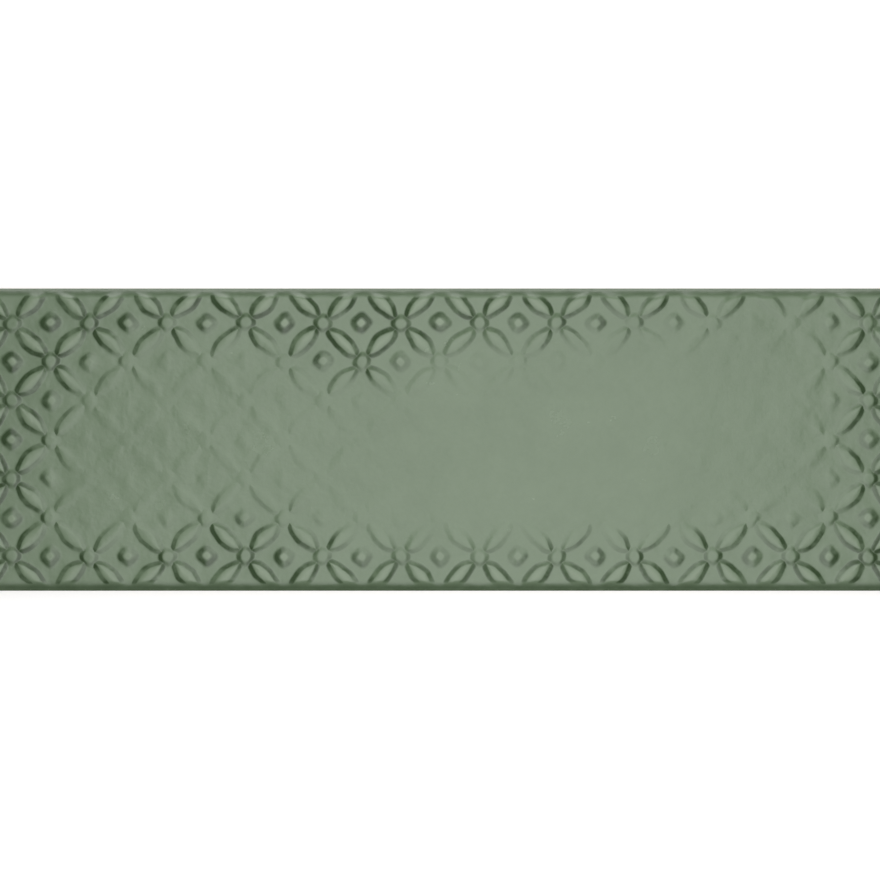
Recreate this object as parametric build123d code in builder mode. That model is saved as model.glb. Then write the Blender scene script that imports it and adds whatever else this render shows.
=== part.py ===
"""A pressed and glazed wall tile, with a relief of interlaced circles that wears away to a smooth middle.

The tile lies on its back: its keyed back is at z = 0, its glazed face looks up +Z, and its length runs
along X. All sizes are in millimetres.
"""

import math
import os

from build123d import *

# The pressed body
length = 200.0
width = 65.0
thickness = 8.3  # from the back to the flat of the face
corner_cut = 0.8  # how far the four upright corners are taken back
rim_width = 2.6  # how far in from its edges the face starts to roll down
rim_drop = 1.0  # how far it has rolled down where it meets the sides
foot_bevel = 0.3  # round the back

# The lattice of the relief: rosette discs and diamond studs take turns on a square grid
pitch = 8.36
ring_radius = 7.42  # of the circles drawn round the studs, whose overlaps are the petals
petal_length = 7.5  # from one blunt tip to the other
disc_radius = 2.05
disc_sides = 16  # a disc is so small that flats stand in for its curve
stud_half_diagonal = 2.6
relief_height = 0.5
petal_lean = 35.0  # how far the sides of the petals lean in
knob_lean = 56.0  # the same for the discs and studs, which are blunt cones
relief_root = 0.2  # the petals start this far below the face, because some of them run down onto the rim
relief_end = 1.5  # how far from the tile's edges the relief stops

# The keys pressed into the back, for the adhesive
key_depth = 0.7
key_length = 13.0
key_width = 11.0
key_rib = 2.2
key_draft = 30.0

# How the relief wears away: it stands along each edge of the tile and fades inward to a smooth middle.
# For each edge: how far in the relief stays at its fullest, how far in it is gone, and its fullest share
left_band = (6.0, 25.0, 1.0)
right_band = (1.0, 25.0, 1.0)
bottom_band = (3.5, 18.0, 0.75)
top_band = (1.5, 15.5, 0.70)
wear_steps = 4  # heights that the relief is pressed to, from the faintest to the full one

# Where the relief stands prouder (+) or is worn lower (-) than those bands alone would give:
# centre and reach along X and Y, then the change in its share of the full height
swells = [
    (-17.0, 21.0, 16.0, 10.0, 1.00),
    (-38.0, 28.0, 22.0, 9.0, 0.30),
    (20.0, 26.0, 20.0, 8.0, 0.25),
    (-88.0, 20.0, 14.0, 14.0, 0.60),
    (72.0, 28.0, 14.0, 7.0, -0.35),
    (-42.0, -19.0, 19.0, 6.5, 0.30),
    (72.0, -19.0, 14.0, 6.0, 0.20),
]

face_height = thickness
flat_length = length - 2 * rim_width
flat_width = width - 2 * rim_width


def smooth_step(low, high, value):
    """0 below low, 1 above high, and a smooth ramp in between."""
    t = min(1.0, max(0.0, (value - low) / (high - low)))
    return t * t * (3 - 2 * t)


def relief_share(x, y):
    """How much of the full relief is left at a point of the face, from 0 to 1."""
    inward = (length / 2 + x, length / 2 - x, width / 2 + y, width / 2 - y)
    worn = 1.0
    for distance, (stays, gone, fullest) in zip(inward, (left_band, right_band, bottom_band, top_band)):
        worn *= 1 - fullest * (1 - smooth_step(stays, gone, distance))
    share = 1 - worn
    for centre_x, centre_y, reach_x, reach_y, amount in swells:
        away = ((x - centre_x) / reach_x) ** 2 + ((y - centre_y) / reach_y) ** 2
        share += amount * math.exp(-away)
    return min(1.0, max(0.0, share))


def worn_to(step, places):
    """The places on the flat of the face whose relief is pressed to a step, from 1 to wear_steps for full."""
    low = (step - 0.5) / wear_steps
    high = (step + 0.5) / wear_steps
    worn = []
    for x, y, turn in places:
        on_the_flat = abs(x) < flat_length / 2 and abs(y) < flat_width / 2
        if on_the_flat and low <= relief_share(x, y) < high:
            worn.append(Location((x, y), turn))
    return worn


# Where the motifs stand: discs and studs on the grid's points, a petal across each of its squares
columns = math.ceil(length / 2 / pitch)
rows = math.ceil(width / 2 / pitch)
points = [(i, j) for i in range(-columns, columns + 1) for j in range(-rows, rows + 1)]
disc_places = [(i * pitch, j * pitch, 0) for i, j in points if (i + j) % 2 == 0]
stud_places = [(i * pitch, j * pitch, 0) for i, j in points if (i + j) % 2 == 1]
petal_places = [
    ((i + 0.5) * pitch, (j + 0.5) * pitch, 45 if (i + j) % 2 == 0 else -45)
    for i, j in points
]

# One petal at its root: the lens where two of the circles overlap, with its tips cut blunt
root_spread = relief_root * math.tan(math.radians(petal_lean))
stud_to_axis = pitch / math.sqrt(2)
with BuildSketch() as petal:
    with Locations((0, stud_to_axis)):
        Circle(ring_radius + root_spread)
    with Locations((0, -stud_to_axis)):
        Circle(ring_radius + root_spread, mode=Mode.INTERSECT)
    Rectangle(petal_length + 2 * root_spread, pitch, mode=Mode.INTERSECT)


def section(size):
    """The outline of the body cut across: flat in the middle, with the face rolled down at both ends."""
    half = size / 2
    side_height = face_height - rim_drop
    with BuildSketch() as outline:
        with BuildLine():
            Polyline(
                (-half, side_height),
                (-half, foot_bevel),
                (foot_bevel - half, 0),
                (half - foot_bevel, 0),
                (half, foot_bevel),
                (half, side_height),
            )
            TangentArc((half - rim_width, face_height), (half, side_height), tangent=(1, 0))
            Line((half - rim_width, face_height), (rim_width - half, face_height))
            TangentArc((rim_width - half, face_height), (-half, side_height), tangent=(-1, 0))
        make_face()
    return outline.sketch


with BuildPart() as tile:
    # The body: its section across the width runs along X, and its section along the length trims the two ends
    with BuildSketch(Plane.YZ):
        add(section(width))
    extrude(amount=length / 2, both=True)
    with BuildSketch(Plane.XZ):
        add(section(length))
    extrude(amount=width, both=True, mode=Mode.INTERSECT)
    with BuildSketch():
        with GridLocations(length, width, 2, 2):
            RegularPolygon(corner_cut, 4)
    extrude(amount=face_height, mode=Mode.SUBTRACT)

    # The keys in the back
    key_columns = int((length - key_rib) // (key_length + key_rib))
    key_rows = int((width - key_rib) // (key_width + key_rib))
    with BuildSketch(Plane.XY):
        with GridLocations(key_length + key_rib, key_width + key_rib, key_columns, key_rows):
            Rectangle(key_length, key_width)
    extrude(amount=key_depth, taper=key_draft, mode=Mode.SUBTRACT)

    # The relief, step by step from the faintest to the proudest
    for step in range(1, wear_steps + 1):
        step_height = relief_height * step / wear_steps
        with BuildSketch(Plane.XY.offset(face_height - relief_root)):
            with Locations(*worn_to(step, petal_places)):
                add(petal.sketch)
            Rectangle(length - 2 * relief_end, width - 2 * relief_end, mode=Mode.INTERSECT)
        extrude(amount=relief_root + step_height, taper=petal_lean)
        with BuildSketch(Plane.XY.offset(face_height)):
            with Locations(*worn_to(step, disc_places)):
                RegularPolygon(disc_radius, disc_sides)
            with Locations(*worn_to(step, stud_places)):
                RegularPolygon(stud_half_diagonal, 4)
        extrude(amount=step_height, taper=knob_lean)

tile.part.label = "tile"

os.makedirs("parts", exist_ok=True)
export_step(tile.part, "parts/tile.step")
print("flat face", round(flat_length, 2), "by", round(flat_width, 2))
print("volume in cubic centimetres", round(tile.part.volume / 1000, 2))
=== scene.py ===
# %% [markdown]
# A pressed wall tile with a relief of interlaced circles, under a sage green glaze. The real tile is one
# piece of fired clay: its relief is pressed into the clay while it is soft, and the glaze then runs down
# the sides of the relief and pools at their feet, which, with the shade on those sides, draws the pattern.
# So this lesson makes one mesh that carries the whole relief, and one material that knows where glaze
# pools, and that paints shade on the sides that face away from the lamp and a highlight on the crests.

# %% The frame
import math

import bmesh
import bpy
import numpy as np
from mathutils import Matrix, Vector


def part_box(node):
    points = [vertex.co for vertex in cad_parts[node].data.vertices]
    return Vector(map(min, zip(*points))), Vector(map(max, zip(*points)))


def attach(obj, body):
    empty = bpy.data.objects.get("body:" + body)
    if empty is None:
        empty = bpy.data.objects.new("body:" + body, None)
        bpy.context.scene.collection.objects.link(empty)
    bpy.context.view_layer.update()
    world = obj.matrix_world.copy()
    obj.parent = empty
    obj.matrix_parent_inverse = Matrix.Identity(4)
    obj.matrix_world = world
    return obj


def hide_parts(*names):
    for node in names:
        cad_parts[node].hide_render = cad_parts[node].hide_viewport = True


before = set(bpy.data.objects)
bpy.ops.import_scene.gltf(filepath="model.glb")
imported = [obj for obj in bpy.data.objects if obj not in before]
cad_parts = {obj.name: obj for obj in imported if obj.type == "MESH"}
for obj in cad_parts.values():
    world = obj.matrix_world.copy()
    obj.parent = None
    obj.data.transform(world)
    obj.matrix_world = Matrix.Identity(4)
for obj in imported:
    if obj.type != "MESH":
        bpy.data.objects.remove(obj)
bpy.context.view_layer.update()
low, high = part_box("tile")
length, width, top = high.x - low.x, high.y - low.y, high.z
print("tile", round(length * 1000, 1), "by", round(width * 1000, 1), "by", round(top * 1000, 1), "mm")

# %% [markdown]
# The camera looks straight down, because the photograph shows the face with no tilt. A long lens far away
# keeps the sides of the tile out of sight. The tile's two ends run out of the picture, as they do in the
# photograph.

# %% Camera
mm = 0.001
photo_pixels = 880
pixels_per_mm = 4.652
tile_row = 439.65  # where the middle of the tile stands in the picture, counted from its top
camera_height = 1.2
outline_height = 7.3 * mm  # where the tile is widest, which is what the scale was measured on
sensor = 36.0
view_width = photo_pixels / pixels_per_mm * mm

camera_data = bpy.data.cameras.new("camera")
camera_data.sensor_width = sensor
camera_data.lens = sensor * (camera_height - outline_height) / view_width
camera = bpy.data.objects.new("camera", camera_data)
camera.location = (0, (tile_row - photo_pixels / 2) / pixels_per_mm * mm, camera_height)
bpy.context.scene.collection.objects.link(camera)
bpy.context.scene.camera = camera
print("lens", round(camera_data.lens, 1), "mm over a view of", round(view_width * 1000, 1), "mm")

# %% [markdown]
# The relief is a lattice. Seen along its diagonals it is a plain square grid: a disc on every corner, a
# stud in the middle of every square, and a petal along every side, where the circles drawn round two studs
# overlap. Folding every square onto its own corner leaves one small pattern to describe, which NumPy works
# out for every point of the face at once.

# %% The lattice
pitch = 8.36 * mm
ring_radius = 7.95 * mm
petal_fade = (3.4 * mm, 5.3 * mm)  # from a petal's middle, where its height falls away towards the tip
disc_radius = 2.25 * mm
stud_reach = 2.3 * mm  # from a stud's middle to its sides
stud_gentleness = 0.78  # a stud's sides are that much less steep than a disc's
knob_share = 0.8  # how high the discs and studs stand, next to the petals
relief_height = 0.5 * mm
face_height = top - relief_height
spacing = pitch * math.sqrt(2)  # from disc to disc along a petal
petal_half_width = ring_radius - spacing / 2
print("petals", round(2 * petal_half_width / mm, 2), "mm wide, discs", round(spacing / mm, 2), "mm apart")

# Soft clay lets the pattern drift a little: waves with a reach, a heading and a wavelength
drift_waves = [(0.16, 20, 13.1), (0.13, 100, 9.7), (0.09, 155, 6.3), (0.07, 55, 4.9), (0.04, 130, 2.7)]


def wave(x, y, heading, wavelength):
    """A wave between -1 and 1 that runs along a heading in degrees."""
    angle = math.radians(heading)
    return np.sin((x * math.cos(angle) + y * math.sin(angle)) * 2 * math.pi / (wavelength * mm) + heading)


def lattice_place(x, y):
    """The point's place along the two diagonals, counted in petals, after the drift of the clay."""
    for reach, heading, wavelength in drift_waves:
        angle = math.radians(heading)
        shift = reach * mm * wave(x, y, heading, wavelength)
        x, y = x - shift * math.sin(angle), y + shift * math.cos(angle)
    return (x + y) / (2 * pitch), (x - y) / (2 * pitch)


def petal_depth(along, across):
    """How far inside a petal's outline a point is, for the petals that run along one way of the lattice."""
    return ring_radius - spacing * np.hypot(along - 0.5, across + 0.5)


def disc_depth(a, b):
    """How far inside a disc's outline a point is."""
    return disc_radius - spacing * np.hypot(a, b)


def stud_depth(a, b):
    """The same for a stud, which is a square with rounded corners."""
    return (stud_reach - spacing * ((0.5 - a) ** 3 + (0.5 - b) ** 3) ** (1 / 3)) * stud_gentleness


# %% [markdown]
# The relief isn't whole: it wears away to a smooth middle, and not evenly. One number between 0 and 1 says
# how much of it is left at each point. Four bands, one along each edge, give the main fall, and a few soft
# swells raise or lower it where the photograph shows more or less of the pattern.

# %% How the relief wears away
# For each edge: how many mm in the relief stays at its fullest, how many in it is gone, and its fullest share
left_band, right_band = (6.0, 26.0, 1.0), (2.0, 27.0, 0.92)
bottom_band, top_band = (3.5, 19.0, 0.88), (1.5, 16.5, 0.77)
# Soft swells that add to the share or take from it: centre and reach along X and Y in mm, and how much
swells_mm = [
    (-17.0, 21.0, 16.0, 10.5, 1.00),
    (-38.0, 28.0, 22.0, 9.0, 0.30),
    (15.0, 21.5, 19.0, 9.5, 0.42),
    (-85.0, 20.0, 17.0, 14.0, 0.70),
    (72.0, 28.0, 14.0, 7.0, -0.35),
    (-58.0, 20.0, 20.0, 6.0, 0.22),
    (-42.0, -19.0, 19.0, 6.5, 0.35),
    (70.0, -19.0, 17.0, 6.0, 0.32),
    (-43.0, -6.0, 32.0, 17.0, 0.17),
    (0.0, 0.0, 90.0, 30.0, 0.07),
]


def smooth_step(low, high, value):
    """0 below low, 1 above high, and a smooth ramp in between."""
    t = np.clip((value - low) / (high - low), 0, 1)
    return t * t * (3 - 2 * t)


def relief_share(x, y):
    """How much of the full relief is left, from 0 to 1."""
    inward = (length / 2 + x, length / 2 - x, width / 2 + y, width / 2 - y)
    worn = 1.0
    for distance, (stays, gone, fullest) in zip(inward, (left_band, right_band, bottom_band, top_band)):
        worn = worn * (1 - fullest * (1 - smooth_step(stays * mm, gone * mm, distance)))
    share = 1 - worn
    for centre_x, centre_y, reach_x, reach_y, amount in swells_mm:
        away = ((x / mm - centre_x) / reach_x) ** 2 + ((y / mm - centre_y) / reach_y) ** 2
        share = share + amount * np.exp(-away)
    return np.clip(share, 0, 1)


print("share of the relief left in the middle", round(float(relief_share(0.0, 0.0)), 2))

# %% [markdown]
# Across the edge of a motif the height climbs in an S, as soft clay leaves a mould. A petal is a long mound
# that falls away towards its tips, and discs and studs are small blunt cones. Where the relief is worn, the
# sides that look towards the smooth middle are drawn out into long gentle slopes, so that only the sides
# that look outward still catch the eye.

# %% The height of the relief
petal_flank = (-0.30 * mm, 1.25 * mm)  # from the outline, where a petal's side starts and ends
knob_flank = (-0.15 * mm, 1.45 * mm)
drawn_out = 1.6 * mm  # how much longer a side is at most, where it is worn and looks towards the middle
draw_rate = 8.0  # how soon a side is drawn out, away from the line through the middle of its motif
middle_reach = 30 * mm  # nearer to the middle of the tile than this, both sides become alike
crown_share = 0.40  # how much of a petal's height is its rounded crown, and not its sides


def side_climb(flank, depth, offset, softness):
    """0 outside a motif, 1 on its top; offset is the point's place beyond the motif's middle, in petals."""
    drawn = drawn_out * softness * np.clip(offset * draw_rate, 0, 1)
    return smooth_step(flank[0], flank[1] + drawn, depth)


def relief(x, y, left):
    """The height of the whole relief, from 0 to 1, whose sides depend on how much of it is left."""
    place_a, place_b = lattice_place(x, y)
    off_a, off_b = place_a - np.round(place_a), place_b - np.round(place_b)
    a, b = np.abs(off_a), np.abs(off_b)  # folded: a disc at (0, 0) and a stud at (0.5, 0.5)
    to_middle = -np.clip(x / middle_reach, -1, 1)
    turn, softness = np.sign(to_middle), np.abs(to_middle) * (1 - left)
    from_disc = off_a + off_b
    from_stud = from_disc - (np.sign(off_a) + np.sign(off_b)) / 2
    discs = side_climb(knob_flank, disc_depth(a, b), from_disc * turn, softness)
    studs = side_climb(knob_flank, stud_depth(a, b), from_stud * turn, softness)
    height = knob_share * np.maximum(discs, studs)
    for along, across, from_axis in ((a, b, off_b), (b, a, off_a)):
        depth = petal_depth(along, across)
        crown = smooth_step(0, petal_half_width, depth)
        side = side_climb(petal_flank, depth, from_axis * turn, softness)
        tip = 1 - smooth_step(*petal_fade, spacing * np.abs(along - 0.5))
        height = np.maximum(height, ((1 - crown_share) * side + crown_share * crown) * tip)
    return height


print("a disc that isn't worn stands", round(float(relief(0.0, 0.0, 1.0)), 2), "of the full height")

# %% [markdown]
# The face is a height for every point: the flat, which isn't dead flat either, less the roll of the rim,
# plus the relief that is left there.

# %% The height of the face
shoulder_width = 2.6 * mm  # seen from above
shoulder_drop = 1.0 * mm
shoulder_radius = (shoulder_width**2 + shoulder_drop**2) / (2 * shoulder_drop)
shoulder_turn = math.asin(shoulder_width / shoulder_radius)  # how steep it is where it meets the side
relief_end = (0.5 * mm, 2.4 * mm)  # from the edge, where the rim cuts the relief off
# Waves with a height, a heading and a wavelength
face_waves = [(0.009, 15, 9.3), (0.007, 75, 7.1), (0.006, 130, 5.3), (0.004, 165, 3.9), (0.003, 40, 2.9)]


def edge_distance(x, y):
    """How far a point of the face is from the nearest side of the tile."""
    return np.minimum(length / 2 - np.abs(x), width / 2 - np.abs(y))


def face_z(x, y):
    """The height of the glazed face above the back."""
    inward = edge_distance(x, y)
    left = relief_share(x, y) * smooth_step(*relief_end, inward)
    roll = np.clip(shoulder_width - inward, 0, shoulder_width)
    drop = shoulder_radius - np.sqrt(shoulder_radius**2 - roll**2)
    uneven = smooth_step(0, shoulder_width, inward) * sum(
        height * mm * (wave(x, y, heading, wavelength) - 1) for height, heading, wavelength in face_waves
    )
    return face_height - drop + uneven + relief_height * left * relief(x, y, left)


print("the middle of the face is", round(float(face_z(0.0, 0.0)) / mm, 2), "mm above the back")

# %% [markdown]
# The face starts as a very fine grid, so that the steep sides of the relief are sampled several times over.
# That is far too many triangles, so a Decimate modifier takes away those that the shape doesn't need: it
# leaves long triangles in the smooth middle and small ones on the relief.

# %% The face's mesh
fine_step = 0.13 * mm
face_triangles = 165000  # what the face is thinned to
face_inset = 0.8 * mm  # the grid ends here, part of the way down the shoulder
hair = 0.002 * mm  # keeps rounding from carrying the mesh past the tile's own box
half_x, half_y = length / 2 - face_inset - hair, width / 2 - face_inset - hair
columns, rows = int(2 * half_x / fine_step), int(2 * half_y / fine_step)


def grid_mesh(name, xs, ys, height):
    """A mesh of squares over the given lines, with its heights from a function of x and y."""
    x, y = np.meshgrid(xs, ys)
    points = np.stack([x, y, height(x, y)], axis=-1).reshape(-1, 3)
    corner = (np.arange(len(ys) - 1)[:, None] * len(xs) + np.arange(len(xs) - 1)).ravel()
    squares = np.stack([corner, corner + 1, corner + len(xs) + 1, corner + len(xs)], axis=-1)
    mesh = bpy.data.meshes.new(name)
    mesh.vertices.add(len(points))
    mesh.vertices.foreach_set("co", points.ravel())
    mesh.loops.add(squares.size)
    mesh.loops.foreach_set("vertex_index", squares.ravel())
    mesh.polygons.add(len(squares))
    mesh.polygons.foreach_set("loop_start", np.arange(len(squares)) * 4)
    mesh.update(calc_edges=True)
    return mesh


grid_x, grid_y = np.linspace(-half_x, half_x, columns), np.linspace(-half_y, half_y, rows)
tile = bpy.data.objects.new("glazed_tile", grid_mesh("glazed_tile", grid_x, grid_y, face_z))
bpy.context.scene.collection.objects.link(tile)
fine_triangles = 2 * len(tile.data.polygons)
thin = tile.modifiers.new("thin_out", "DECIMATE")
thin.ratio = face_triangles / fine_triangles
evaluated = tile.evaluated_get(bpy.context.evaluated_depsgraph_get())
thinned = bpy.data.meshes.new_from_object(evaluated)
tile.modifiers.clear()
tile.data = thinned
print("face", fine_triangles, "triangles, thinned to", len(thinned.polygons))

# %% [markdown]
# The rim, the sides and the back are added to the same mesh, because the tile is one piece. First comes the
# profile that the rim and the sides follow, from the face's border down to the foot.

# %% The profile of the rim
rim_steps = 6
foot_round = 0.3 * mm
foot_middle = foot_round * 0.3  # how far in and up the middle point of that round is
side_heights = [0.6, 0.35, 0.12]  # where the sides have a ring of points, as shares of the face's height
arris = 0.05 * mm  # the edge where the shoulder meets the side is hardly rounded
arris_points = [(0.35, 0.45), (0.0, 1.6)]  # how far in from the side and how far down, counted in that width
first_turn = math.asin((shoulder_width - face_inset) / shoulder_radius)

profile = []  # how far outward from the face's border, and the height there
for step in range(1, rim_steps + 1):
    turn = first_turn + (shoulder_turn - first_turn) * step / rim_steps
    out = shoulder_radius * math.sin(turn) - (shoulder_width - face_inset)
    profile.append((out - arris * step / rim_steps, face_height - shoulder_radius * (1 - math.cos(turn))))
side_top = profile[-1][1]
profile += [(face_inset - arris * inward, side_top - arris * down) for inward, down in arris_points]
profile += [(face_inset, face_height * share) for share in side_heights]
profile += [(face_inset, foot_round), (face_inset - foot_middle, foot_middle), (face_inset - foot_round, 0)]
print("profile of", len(profile), "points, from", round(profile[0][1] / mm, 2), "mm down to 0")

# %% [markdown]
# Each point on the face's border is carried outward and down along that profile, and at a corner one point
# fans out into an arc.

# %% The rim and the sides
corner_steps = 6
touching = 1e-6  # a point that is nearer than this to a line lies on it
build = bmesh.new()
build.from_mesh(tile.data)
border = [edge for edge in build.edges if edge.is_boundary]


def border_loop(edges):
    """The border's vertices in order, counter-clockwise seen from above."""
    following = {}
    for edge in edges:
        loop = edge.link_loops[0]
        following[loop.vert] = loop.link_loop_next.vert
    start = max(following, key=lambda vertex: vertex.co.x + vertex.co.y)
    ring = [start]
    while following[ring[-1]] is not start:
        ring.append(following[ring[-1]])
    return ring


def outward_turns(vertex):
    """The angles, in degrees, at which the rim leaves a border vertex: one on a side, a fan at a corner."""
    on_x = abs(abs(vertex.co.x) - half_x) < touching
    on_y = abs(abs(vertex.co.y) - half_y) < touching
    to_x = 0 if vertex.co.x > 0 else 180
    to_y = 90 if vertex.co.y > 0 else 270
    if not (on_x and on_y):
        return [to_x if on_x else to_y]
    start = {(0, 90): 0, (180, 90): 90, (180, 270): 180, (0, 270): 270}[(to_x, to_y)]
    return [start + 90 * step / corner_steps for step in range(corner_steps + 1)]


ring = border_loop(border)
starts = [(vertex, math.radians(turn)) for vertex in ring for turn in outward_turns(vertex)]
previous = [vertex for vertex, turn in starts]
for out, z in profile:
    current = [
        build.verts.new((vertex.co.x + out * math.cos(turn), vertex.co.y + out * math.sin(turn), z))
        for vertex, turn in starts
    ]
    for k in range(len(starts)):
        after = (k + 1) % len(starts)
        corners = [previous[k], current[k], current[after], previous[after]]
        if previous[k] is previous[after]:
            corners = corners[:3]
        build.faces.new(corners)
    previous = current
foot = previous
print("rim and sides", len(profile), "rings of", len(starts), "points")

# %% [markdown]
# The back has shallow square keys pressed into it, which the adhesive grips. They lie on a grid, so a mesh
# over uneven grid lines makes them: two lines at each side of each key, one at its mouth and one at its
# floor.

# %% The back
key_depth, key_draft = 0.7 * mm, math.radians(30)
key_length, key_width, key_rib = 13.0 * mm, 11.0 * mm, 2.2 * mm


def key_lines(size, key):
    """Where a row of keys begins and ends: pairs of (mouth, floor) lines, and how deep each line is."""
    count = int((size - key_rib) // (key + key_rib))
    inset = key_depth * math.tan(key_draft)
    lines = []
    for place in range(count):
        middle = (place - (count - 1) / 2) * (key + key_rib)
        start, end = middle - key / 2, middle + key / 2
        lines += [(start, 0), (start + inset, 1), (end - inset, 1), (end, 0)]
    return lines


lines_x, lines_y = key_lines(length, key_length), key_lines(width, key_width)
back = {}
for i, (x, deep_x) in enumerate(lines_x):
    for j, (y, deep_y) in enumerate(lines_y):
        back[i, j] = build.verts.new((x, y, key_depth * deep_x * deep_y))
for i in range(len(lines_x) - 1):
    for j in range(len(lines_y) - 1):
        build.faces.new([back[i, j], back[i, j + 1], back[i + 1, j + 1], back[i + 1, j]])
print(len(lines_x) // 4, "by", len(lines_y) // 4, "keys")

# %% [markdown]
# Between the keys and the foot of the sides a flat margin is left. One fill between the two rings closes
# it, and the tile is a closed body.

# %% The margin of the back
last_x, last_y = len(lines_x) - 1, len(lines_y) - 1
key_ring = [back[i, 0] for i in range(last_x)] + [back[last_x, j] for j in range(last_y)]
key_ring += [back[i, last_y] for i in range(last_x, 0, -1)] + [back[0, j] for j in range(last_y, 0, -1)]


def ring_edges(vertices):
    """The edges round a closed ring of vertices, made where they are missing."""
    edges = []
    for k, vertex in enumerate(vertices):
        after = vertices[(k + 1) % len(vertices)]
        edges.append(build.edges.get((vertex, after)) or build.edges.new((vertex, after)))
    return edges


margin_rings = ring_edges(foot) + ring_edges(key_ring)
bmesh.ops.triangle_fill(build, edges=margin_rings, use_beauty=True, normal=(0, 0, -1))
bmesh.ops.triangulate(build, faces=build.faces[:])
bmesh.ops.recalc_face_normals(build, faces=build.faces[:])
open_edges = [len(edge.link_faces) for edge in build.edges if not edge.is_manifold]
build.to_mesh(tile.data)
build.free()
tile.data.shade_smooth()
print("tile", len(tile.data.polygons), "triangles, open edges", open_edges)

# %% [markdown]
# Smooth shading blends each vertex's normal from the triangles round it, which wobbles on long thin
# triangles. The shape of the face is known exactly, so its normals are worked out from the height itself.
# The back is made of flats, so every triangle that looks down keeps its own normal.

# %% Exact normals
probe = 0.02 * mm
down_limit = -0.05  # a triangle whose normal points down by more than this is part of the back
faces, corners = len(tile.data.polygons), len(tile.data.loops)
count = len(tile.data.vertices)


def read_vectors(collection, name, size):
    """One vector for each member of a mesh's collection, as rows."""
    values = np.empty(size * 3)
    collection.foreach_get(name, values)
    return values.reshape(-1, 3)


x, y, z = read_vectors(tile.data.vertices, "co", count).T
normals = read_vectors(tile.data.vertices, "normal", count)
on_face = (np.abs(x) <= half_x + touching) & (np.abs(y) <= half_y + touching) & (z > top / 2)
slope_x = (face_z(x + probe, y) - face_z(x - probe, y)) / (2 * probe)
slope_y = (face_z(x, y + probe) - face_z(x, y - probe)) / (2 * probe)
exact = np.stack([-slope_x, -slope_y, np.ones(count)], axis=-1)
exact /= np.linalg.norm(exact, axis=1, keepdims=True)
normals[on_face] = exact[on_face]

corner_vertex = np.empty(corners, dtype=np.int32)
tile.data.loops.foreach_get("vertex_index", corner_vertex)
face_normals = np.repeat(read_vectors(tile.data.polygons, "normal", faces), 3, axis=0)  # one for each corner
looks_down = face_normals[:, 2] < down_limit
corner_normals = normals[corner_vertex]
corner_normals[looks_down] = face_normals[looks_down]
tile.data.normals_split_custom_set(corner_normals.tolist())
print("exact normals on", int(on_face.sum()), "of", count, "vertices")

# %% [markdown]
# The shader has to know where it is in the lattice and how much of the relief is left there. Both are
# worked out once for every vertex, and the mesh carries them as attributes.

# %% What the mesh tells the shader
along_a, along_b = lattice_place(x, y)
for name, values in (("relief_left", relief_share(x, y)), ("lattice_a", along_a), ("lattice_b", along_b)):
    attribute = tile.data.attributes.new(name, "FLOAT", "POINT")
    attribute.data.foreach_set("value", values.astype(np.float32))
    print(name, "from", round(float(values.min()), 2), "to", round(float(values.max()), 2))

# %% [markdown]
# Materials are written as sums. One small class stands for a value on its way through the nodes: adding or
# multiplying two of them adds a Math node, so the shader reads like the formula that it is.


# %% Writing shaders as sums
class Value:
    """One output of a node. Arithmetic on it adds Math nodes to the same tree."""

    def __init__(self, tree, socket):
        self.tree = tree
        self.socket = socket

    def node(self, kind, settings=None, inputs=None, output=0):
        return add_node(self.tree, kind, settings, inputs, output)

    def sibling(self, name):
        """Another output of the same node."""
        return Value(self.tree, self.socket.node.outputs[name])

    def math(self, operation, *others):
        return self.node("ShaderNodeMath", {"operation": operation}, dict(enumerate((self,) + others)))

    def __add__(self, other):
        return self.math("ADD", other)

    def __mul__(self, other):
        return self.math("MULTIPLY", other)

    def __sub__(self, other):
        return self.math("SUBTRACT", other)

    def __rsub__(self, other):
        return self.math("MULTIPLY", -1.0).math("ADD", other)

    def __truediv__(self, other):
        return self.math("DIVIDE", other)

    __radd__ = __add__
    __rmul__ = __mul__

    def hypot(self, other):
        return (self * self + other * other).math("SQRT")

    def lower(self, other):
        return self.math("MINIMUM", other)

    def higher(self, other):
        return self.math("MAXIMUM", other)

    def step(self, low, high):
        """0 below low, 1 above high, smooth in between."""
        settings = {"interpolation_type": "SMOOTHSTEP"}
        return self.node("ShaderNodeMapRange", settings, {"Value": self, "From Min": low, "From Max": high})


def add_node(tree, kind, settings=None, inputs=None, output=0):
    """A node with its settings, and the values or links of its sockets. Gives back one of its outputs."""
    node = tree.nodes.new(kind)
    for name, setting in (settings or {}).items():
        setattr(node, name, setting)
    for name, value in (inputs or {}).items():
        if isinstance(value, Value):
            tree.links.new(value.socket, node.inputs[name])
        else:
            node.inputs[name].default_value = value
    return Value(tree, node.outputs[output]) if node.outputs else None


print("a value knows", ", ".join(name for name in vars(Value) if not name.startswith("_")))

# %% [markdown]
# A few helpers make a material, mix two colours, and turn a colour from an image editor into the linear one
# that the nodes work with.


# %% Materials and colours
def new_material(name):
    """A material and its empty tree of nodes."""
    material = bpy.data.materials.new(name)
    material.use_nodes = True
    material.node_tree.nodes.clear()
    return material, material.node_tree


def blend_colours(share, first, second):
    """The first colour where share is 0, the second where it is 1."""
    factor, colour_a, colour_b, colour_result = 0, 6, 7, 2  # the Mix node's sockets for colours
    inputs = {factor: share, colour_a: first, colour_b: second}
    return share.node("ShaderNodeMix", {"data_type": "RGBA", "blend_type": "MIX"}, inputs, colour_result)


def srgb(*colour):
    """The linear values of a colour that is written from 0 to 255, as in an image editor."""
    return [((value / 255 + 0.055) / 1.055) ** 2.4 for value in colour] + [1.0]


print("white is", srgb(255, 255, 255))
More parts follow.
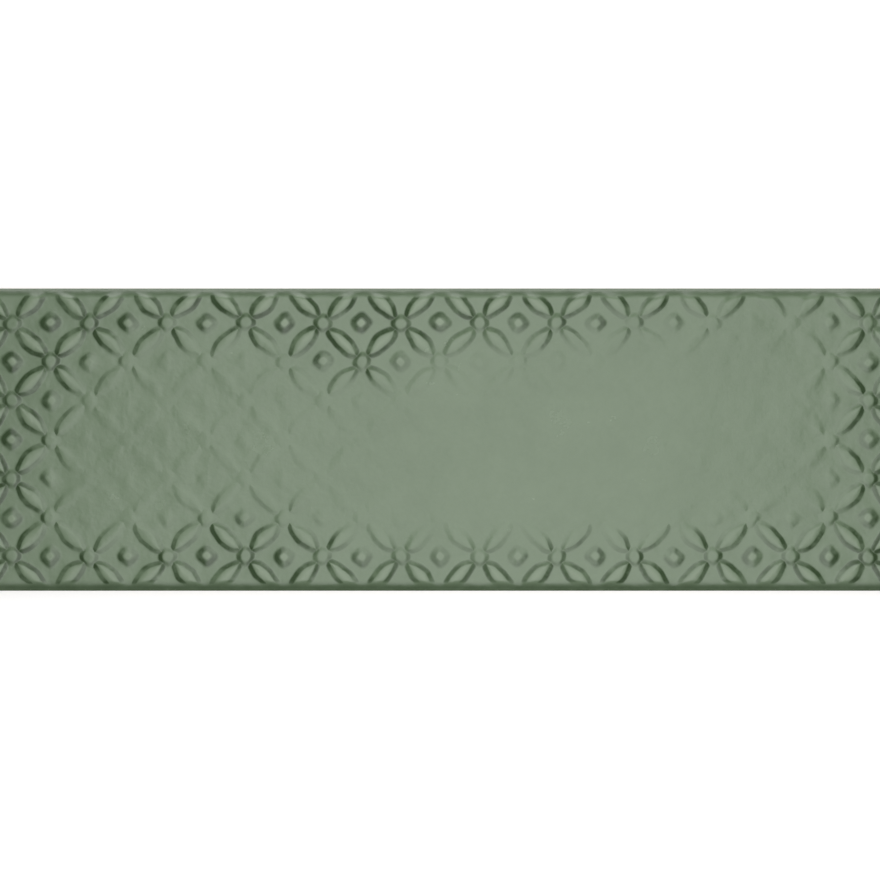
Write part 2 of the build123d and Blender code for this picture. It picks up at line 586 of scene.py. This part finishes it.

# %% [markdown]
# The glaze is the finish that matters. It is a thin coloured glass: where it pools at the foot of the
# relief it is deeper and greener, and where it thins over a crest it is paler. The shader also paints shade
# on the sides of the relief in that deep colour, and a highlight on the crests in that pale one. The same
# folded lattice as the mesh tells the shader where that is, so its lines stay sharp at any distance.

# %% Where the shader is on the tile
material, tree = new_material("sage_glaze")
place = add_node(tree, "ShaderNodeTexCoord", output="Object")
place_x = place.node("ShaderNodeSeparateXYZ", inputs={"Vector": place})
place_y, place_z = place_x.sibling("Y"), place_x.sibling("Z")
shape_normal = place.sibling("Normal")
facing_x = place.node("ShaderNodeSeparateXYZ", inputs={"Vector": shape_normal})
to_edge = (length / 2 - place_x.math("ABSOLUTE")).lower(width / 2 - place_y.math("ABSOLUTE"))


def read_attribute(name):
    """A number that the mesh carries on its vertices."""
    return add_node(tree, "ShaderNodeAttribute", {"attribute_name": name}, output="Fac")


def folded(position):
    """The distance to the nearest whole number."""
    return (position - position.math("ROUND")).math("ABSOLUTE")


def noise(scale, detail, roughness=0.5):
    """A value about 0.5 that wanders over the tile; the scale is how many times per metre."""
    inputs = {"Vector": place, "Scale": scale, "Detail": detail, "Roughness": roughness}
    return place.node("ShaderNodeTexNoise", inputs=inputs)


def bump(height, distance, strength):
    """A normal that is tilted by a height, in units of the distance."""
    inputs = {"Strength": strength, "Distance": distance, "Height": height}
    return place.node("ShaderNodeBump", inputs=inputs, output="Normal")


a, b = folded(read_attribute("lattice_a")), folded(read_attribute("lattice_b"))
left = read_attribute("relief_left") * to_edge.step(*relief_end)
print("places take", len(tree.nodes), "nodes")

# %% [markdown]
# The motifs once more, this time as nodes. The formulas are those of the mesh, so the colours stay on the
# relief. What matters for the glaze is a motif's side, where it runs down and where shade is painted, and
# its crest, where it is thin and where a highlight is painted.

# %% The motifs as nodes
petal_seam = (-0.3 * mm, 0.4 * mm)  # from a petal's outline, where it comes to cover the side of a disc
crest_start = petal_half_width * 0.3  # how far inside a petal its crest begins
stud_top = (0.9, 1.0)  # how far up a stud its top begins, and where it is whole


def petal_inside(along, across):
    """How far inside a petal's outline a point is."""
    return ring_radius - (along - 0.5).hypot(across + 0.5) * spacing


def petal_tip(along):
    """1 on the middle of a petal, falling to 0 at its two tips."""
    return 1 - ((along - 0.5).math("ABSOLUTE") * spacing).step(*petal_fade)


def petal_body(along, across):
    """1 on a petal, 0 off it."""
    return petal_inside(along, across).step(*petal_seam) * petal_tip(along)


def side_band(climb):
    """1 half way up a side, 0 at its foot and at its top."""
    return climb * (1 - climb) * 4


def petal_band(along, across):
    """1 half way up a petal's sides."""
    return side_band(petal_inside(along, across).step(*petal_flank)) * petal_tip(along)


def petal_crest(along, across):
    """1 along the ridge of a petal."""
    return petal_inside(along, across).step(crest_start, petal_half_width) * petal_tip(along)


def cube(value):
    """The third power."""
    return value * value * value


def both_ways(form):
    """A form of the petals, for those that run one way and those that run the other."""
    return form(a, b).higher(form(b, a))


disc_climb = (disc_radius - a.hypot(b) * spacing).step(*knob_flank)
stud_inside = stud_reach - (cube(0.5 - a) + cube(0.5 - b)).math("POWER", 1 / 3) * spacing
stud_climb = (stud_inside * stud_gentleness).step(*knob_flank)
# The crests' paleness is partly thin glaze and partly a painted highlight.
crest = both_ways(petal_crest).higher(stud_climb.step(*stud_top)) * left * left
print("with the motifs there are", len(tree.nodes), "nodes")

# %% [markdown]
# Glaze pools dark on the sides of the motifs, and painted shade darkens them further. Where the relief
# stands whole the dark goes on every side: that is mostly the pooled glaze. Where it is worn only the sides
# that look outward, away from the lamp over the middle, are darkened, as on the mesh: that is painted shade.
# A disc's sides that face along X are painted darker than its others, as shade for the long lamp that they
# no longer reflect. A soft noise lets it all run thick and thin, and a line of painted shade runs round the
# rim.

# %% Where glaze pools, and where shade is painted
disc_pool_and_shade, stud_pool_and_shade = 0.8, 0.75  # how dark the pool and painted shade round a disc and a stud are, next to a petal
under_petals = 0.7  # how much of a disc's pool and painted shade a petal covers
sideways_shade_tilt = (0.02, 0.25)  # the tilts along X at which a disc's side begins to take painted shade, and fully does
upward_share = 0.3  # how much of that its other sides take
outward_tilt = (0.02, 0.16)  # the tilts at which a side begins to look outward, and fully does
outward_gain, band_gain = 1.4, 1.7  # above 1, so that the middle of a band is evenly dark
run_range, run_share, run_base = (0.28, 0.62), 0.85, 0.3  # how the noise thickens and thins a pool and its painted shade
rim_shade_end = (0.7 * mm, 2.2 * mm)  # from the tile's edge, where the rim's painted shade is full and where it is gone
rim_shade_noise_share, rim_shade_noise_base = 0.8, 0.6  # the same for the rim's painted shade

# Painted shade: a disc's sides that face along X get more of the dark than those that face along Y.
sideways_shade = facing_x.math("ABSOLUTE").step(*sideways_shade_tilt) * (1 - upward_share) + upward_share
disc_bands = side_band(disc_climb) * (1 - both_ways(petal_body) * under_petals) * sideways_shade * disc_pool_and_shade
petal_bands = both_ways(petal_band) * (1 - disc_climb)
band = petal_bands.higher(disc_bands).higher(side_band(stud_climb) * stud_pool_and_shade)
# Painted shade: where the relief is worn, the sides that face away from the middle, and so from the lamp, are
# darkened.
outward_shade = (facing_x * (place_x / middle_reach).higher(-1.0).lower(1.0)).step(*outward_tilt)
pooled_and_shaded = cube(left).higher(outward_shade * (left * outward_gain).lower(1.0))
runs = noise(260.0, 3.0)
pool_and_shade = (band * band_gain).lower(1.0) * pooled_and_shaded * (runs.step(*run_range) * run_share + run_base)
# Painted shade: a darker line just inside the rim, for the dark band that the shoulder reflects.
rim_shade = (1 - to_edge.step(*rim_shade_end)) * (runs * rim_shade_noise_share + rim_shade_noise_base)
print("with the pools there are", len(tree.nodes), "nodes")

# %% [markdown]
# The glaze is a sage green that clouds a little, with specks. It is paler on the crests, partly for thin
# glaze and partly as a painted highlight, and deeper in the pools and where shade is painted. It is glossy,
# and a faint ripple keeps its reflections from being those of a flat pane.

# %% The glaze
sage, pale_sage = srgb(109, 129, 101), srgb(123, 142, 115)
# The deep colour is both pooled glaze and painted shade; the crest colour is partly thin glaze and partly a
# painted highlight.
deep_sage, crest_highlight_sage = srgb(56, 76, 47), srgb(152, 168, 142)
pool_and_shade_depth, rim_shade_depth = 0.85, 0.6  # how near the pools and painted shade, and the rim's painted shade, come to the deep colour
crest_highlight_share = 0.4  # how near the crests, with their painted highlight, come to theirs
smoothest, cloud_roughness = 0.22, 0.08
cloud_contrast, speck_contrast, mottle_level = 1.5, 0.3, 0.35
ripple_height, speck_ripple = 0.35 * mm, 0.12
clouds, specks = noise(70.0, 5.0, 0.65), noise(900.0, 2.0)
ripple = noise(150.0, 3.0, 0.45) + specks * speck_ripple

paleness = (clouds - 0.5) * cloud_contrast + (specks - 0.5) * speck_contrast + mottle_level
mottle = blend_colours(paleness, sage, pale_sage)
# Paler crests: thin glaze, with a painted highlight.
mottle = blend_colours(crest * left * crest_highlight_share, mottle, crest_highlight_sage)
# The pools and the painted shade, along the relief and round the rim, go towards the deep colour.
pools_and_shade = (pool_and_shade * pool_and_shade_depth).higher(rim_shade * rim_shade_depth)
glaze_inputs = {
    "Base Color": blend_colours(pools_and_shade, mottle, deep_sage),
    "Roughness": clouds * cloud_roughness + smoothest,
    "Normal": bump(ripple, ripple_height, 1.0),
    "IOR": 1.5,
}
glaze = place.node("ShaderNodeBsdfPrincipled", inputs=glaze_inputs)
print("with the glaze there are", len(tree.nodes), "nodes")

# %% [markdown]
# Low on the sides the glaze ends in a wavering line, and the fired clay shows, as it does on the back. It
# is pale, dry and a little grainy. The two surfaces become one material, and the mesh is handed over as the
# tile.

# %% The biscuit, and the line where the glaze ends
biscuit_colour, biscuit_dark = srgb(214, 200, 178), srgb(190, 172, 148)
glaze_line_height, glaze_line_wander, glaze_line_blur = 3.2 * mm, 3.0 * mm, 0.15 * mm
grain_height, grain_contrast, cloud_darkness = 0.12 * mm, 0.8, 0.6
grains, drips = noise(1500.0, 4.0, 0.7), noise(60.0, 3.0)

darkness = (grains - 0.5) * grain_contrast + clouds * cloud_darkness
biscuit_inputs = {
    "Base Color": blend_colours(darkness, biscuit_colour, biscuit_dark),
    "Roughness": 0.85,
    "Normal": bump(grains, grain_height, 0.6),
    "IOR": 1.45,
}
biscuit = place.node("ShaderNodeBsdfPrincipled", inputs=biscuit_inputs)
glaze_line = (drips - 0.5) * glaze_line_wander + glaze_line_height
glazed = (place_z - glaze_line).step(-glaze_line_blur, glaze_line_blur)
surface = place.node("ShaderNodeMixShader", inputs={0: glazed, 1: biscuit, 2: glaze})
place.node("ShaderNodeOutputMaterial", inputs={"Surface": surface})
tile.data.materials.clear()
tile.data.materials.append(material)

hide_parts("tile")
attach(tile, "root")
print("the whole material has", len(tree.nodes), "nodes")

# %% [markdown]
# The floor is white to the camera and in reflections, and still takes the tile's shadow. Light Path tells
# those rays from the rays that light things, so the white doesn't come from more light on the tile. The
# world is plain grey.

# %% Floor and background
floor_size = 3.0  # from its middle to its sides
floor_glow = 0.56
floor_white, white = (0.8, 0.8, 0.8, 1), (1, 1, 1, 1)
world_level = 0.18

floor_line = np.linspace(-floor_size, floor_size, 3)
floor = bpy.data.objects.new("floor", grid_mesh("floor", floor_line, floor_line, lambda x, y: x * 0))
bpy.context.scene.collection.objects.link(floor)
floor_material, tree = new_material("white_floor")
camera_rays = add_node(tree, "ShaderNodeLightPath", output="Is Camera Ray")
glossy_rays, through_rays = camera_rays.sibling("Is Glossy Ray"), camera_rays.sibling("Is Transmission Ray")
seen = camera_rays.higher(glossy_rays).higher(through_rays)
matt = seen.node("ShaderNodeBsdfDiffuse", inputs={"Color": floor_white})
glow = seen.node("ShaderNodeEmission", inputs={"Color": white, "Strength": seen * floor_glow})
both = seen.node("ShaderNodeAddShader", inputs={0: matt, 1: glow})
seen.node("ShaderNodeOutputMaterial", inputs={"Surface": both})
floor.data.materials.append(floor_material)
print("floor", 2 * floor_size, "m wide, with", len(tree.nodes), "nodes")

world = bpy.data.worlds.new("studio")
bpy.context.scene.world = world
world.use_nodes = True
world.node_tree.nodes.clear()
sky = add_node(world.node_tree, "ShaderNodeBackground", inputs={"Color": white, "Strength": world_level})
sky.node("ShaderNodeOutputWorld", inputs={"Surface": sky})
print("world level", world_level)

# %% [markdown]
# A soft box close over the middle of the tile lights it as the photograph is lit: brightest a little right
# of the middle, and falling off towards both ends, with the sides of the relief that face away from it in
# shade. It is brighter in its middle, so it is three lamps over each other. Two lamps beyond the top edge
# pick out the rim there.

# %% Lamps
key_place = (0.02, -0.045)
key_aim = (0.02, -0.0451, 0)  # a hair off the point right below, so that the lamps' long way follows Y
key_radiance = 0.77
key_lamps = [  # name, height, size along X, size along Y
    ("key_lamp_inner", 0.300, 0.17, 0.34),
    ("key_lamp", 0.304, 0.24, 0.40),
    ("key_lamp_outer", 0.308, 0.34, 0.46),
]
rim_lamps = [  # name, place, size, radiance
    ("rim_lamp", (0.0, 0.7, 0.15), (0.5, 0.26), 3.6),
    ("rim_lamp_upper", (0.0, 0.65, 0.40), (0.5, 0.28), 1.2),
]


def soft_lamp(name, position, target, size, radiance):
    """A rectangular lamp that faces a point and isn't seen itself; radiance 1 is that of a white wall."""
    data = bpy.data.lights.new(name, "AREA")
    data.shape = "RECTANGLE"
    data.size, data.size_y = size
    data.energy = radiance * math.pi * size[0] * size[1]
    lamp = bpy.data.objects.new(name, data)
    lamp.location = position
    direction = Vector(target) - Vector(position)
    lamp.rotation_euler = direction.to_track_quat("-Z", "Y").to_euler()
    lamp.visible_camera = False
    bpy.context.scene.collection.objects.link(lamp)
    print(name, round(data.energy, 3), "W")


for name, height, size_x, size_y in key_lamps:
    soft_lamp(name, (*key_place, height), key_aim, (size_x, size_y), key_radiance)
for name, position, size, radiance in rim_lamps:
    soft_lamp(name, position, (0, 0, 0), size, radiance)
bpy.context.scene.view_settings.view_transform = "Standard"

# %% [markdown]

# %% [markdown]
